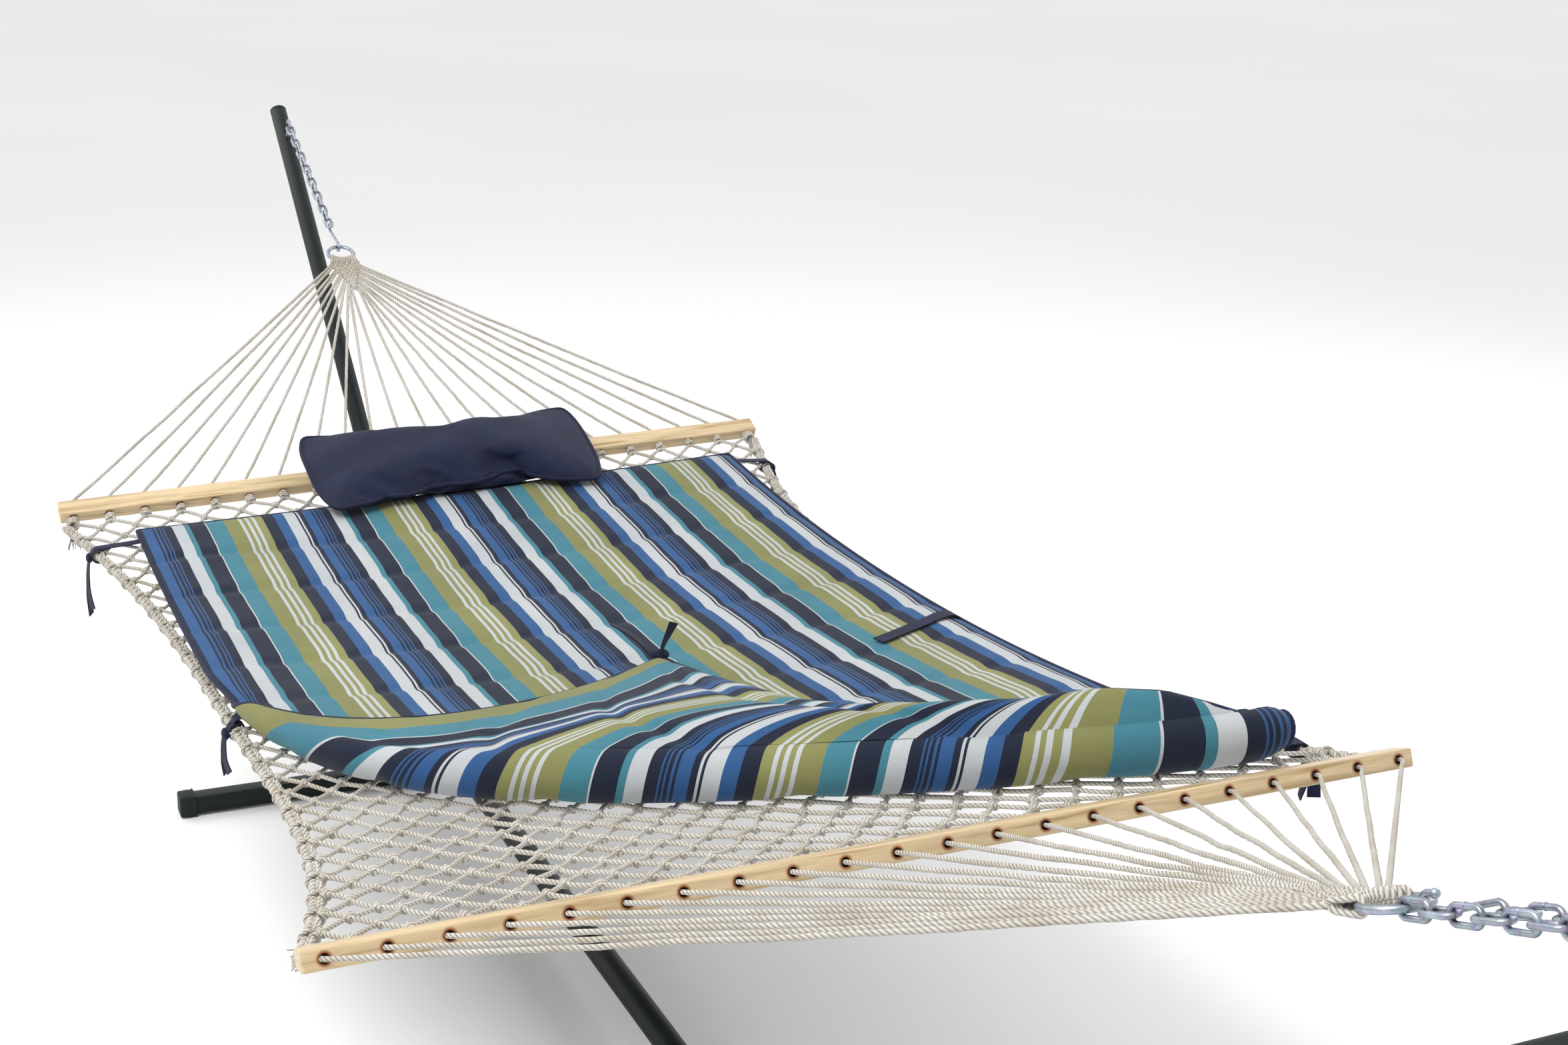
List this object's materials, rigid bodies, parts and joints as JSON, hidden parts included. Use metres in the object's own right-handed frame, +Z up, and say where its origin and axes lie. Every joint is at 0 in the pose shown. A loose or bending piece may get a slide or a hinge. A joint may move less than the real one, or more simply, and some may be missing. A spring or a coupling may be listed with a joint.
{
  "type": "hammock on stand",
  "caption": "Rope hammock with wooden spreader bars, a quilted striped pad folded back at its foot and a pillow, hung by chains between the arms of a steel tube stand.",
  "frame": {"origin": "bottom centre of the whole object: on the ground, midway between the arms, on the stand's middle plane", "axes": "+X from the head end, where the pillow lies, to the foot end; +Y across, towards the pad's right side; +Z up"},
  "size_m": [4.5352, 1.3994, 1.1731],
  "materials": {
    "green_powder_coat": "satin dark green powder coat",
    "black_plastic": "matte moulded end caps, green-black",
    "zinc_plated_steel": "galvanised, slightly dulled",
    "varnished_oak": "clear varnish over open grain",
    "cotton_rope": "twisted three-strand cotton rope, undyed",
    "striped_fabric": "woven stripes of blue, teal, olive, navy and white, quilted",
    "navy_fabric": "plain navy canvas with corded seams"
  },
  "bodies": {
    "stand": {"base_tube": "green_powder_coat", "elbow_head": "green_powder_coat", "arm_head": "green_powder_coat", "arm_cap_head": "black_plastic", "cross_foot_head": "green_powder_coat", "saddle_head": "green_powder_coat", "foot_cap_head_left": "black_plastic", "foot_cap_head_right": "black_plastic", "hook_bolt_head": "zinc_plated_steel", "hook_nut_head": "zinc_plated_steel", "base_bolt_head": "zinc_plated_steel", "base_nut_head": "zinc_plated_steel", "arm_bolt_head": "zinc_plated_steel", "arm_nut_head": "zinc_plated_steel", "saddle_bolt_head": "zinc_plated_steel", "saddle_nut_head": "zinc_plated_steel", "elbow_foot": "green_powder_coat", "arm_foot": "green_powder_coat", "arm_cap_foot": "black_plastic", "cross_foot_foot": "green_powder_coat", "saddle_foot": "green_powder_coat", "foot_cap_foot_left": "black_plastic", "foot_cap_foot_right": "black_plastic", "hook_bolt_foot": "zinc_plated_steel", "hook_nut_foot": "zinc_plated_steel", "base_bolt_foot": "zinc_plated_steel", "base_nut_foot": "zinc_plated_steel", "arm_bolt_foot": "zinc_plated_steel", "arm_nut_foot": "zinc_plated_steel", "saddle_bolt_foot": "zinc_plated_steel", "saddle_nut_foot": "zinc_plated_steel"},
    "hammock": {"chain_head": "zinc_plated_steel", "s_hook_head": "zinc_plated_steel", "ring_head": "zinc_plated_steel", "clew_head": "cotton_rope", "spreader_bar_head": "varnished_oak", "chain_foot": "zinc_plated_steel", "s_hook_foot": "zinc_plated_steel", "ring_foot": "zinc_plated_steel", "clew_foot": "cotton_rope", "spreader_bar_foot": "varnished_oak", "net": "cotton_rope", "edge_rope_left": "cotton_rope", "edge_rope_right": "cotton_rope", "pad": "striped_fabric", "tie_head_left": "navy_fabric", "tie_head_right": "navy_fabric", "tie_mid_left": "navy_fabric", "tie_mid_right": "navy_fabric", "tie_foot_left": "navy_fabric", "tie_foot_right": "navy_fabric"},
    "pillow": {"pillow": "navy_fabric"}
  },
  "joints": [
    {"name": "hammock_swing", "type": "hinge", "parent": "stand", "child": "hammock", "pos_m": [0, 0, 1.1357], "axis": [1, 0, 0], "range_deg": [-30, 30], "deforming": ["chain_head", "chain_foot"]},
    {"name": "pillow_lift", "type": "slide", "parent": "hammock", "child": "pillow", "axis": [0, 0, 1], "range_m": [0, 0.25]}
  ]
}
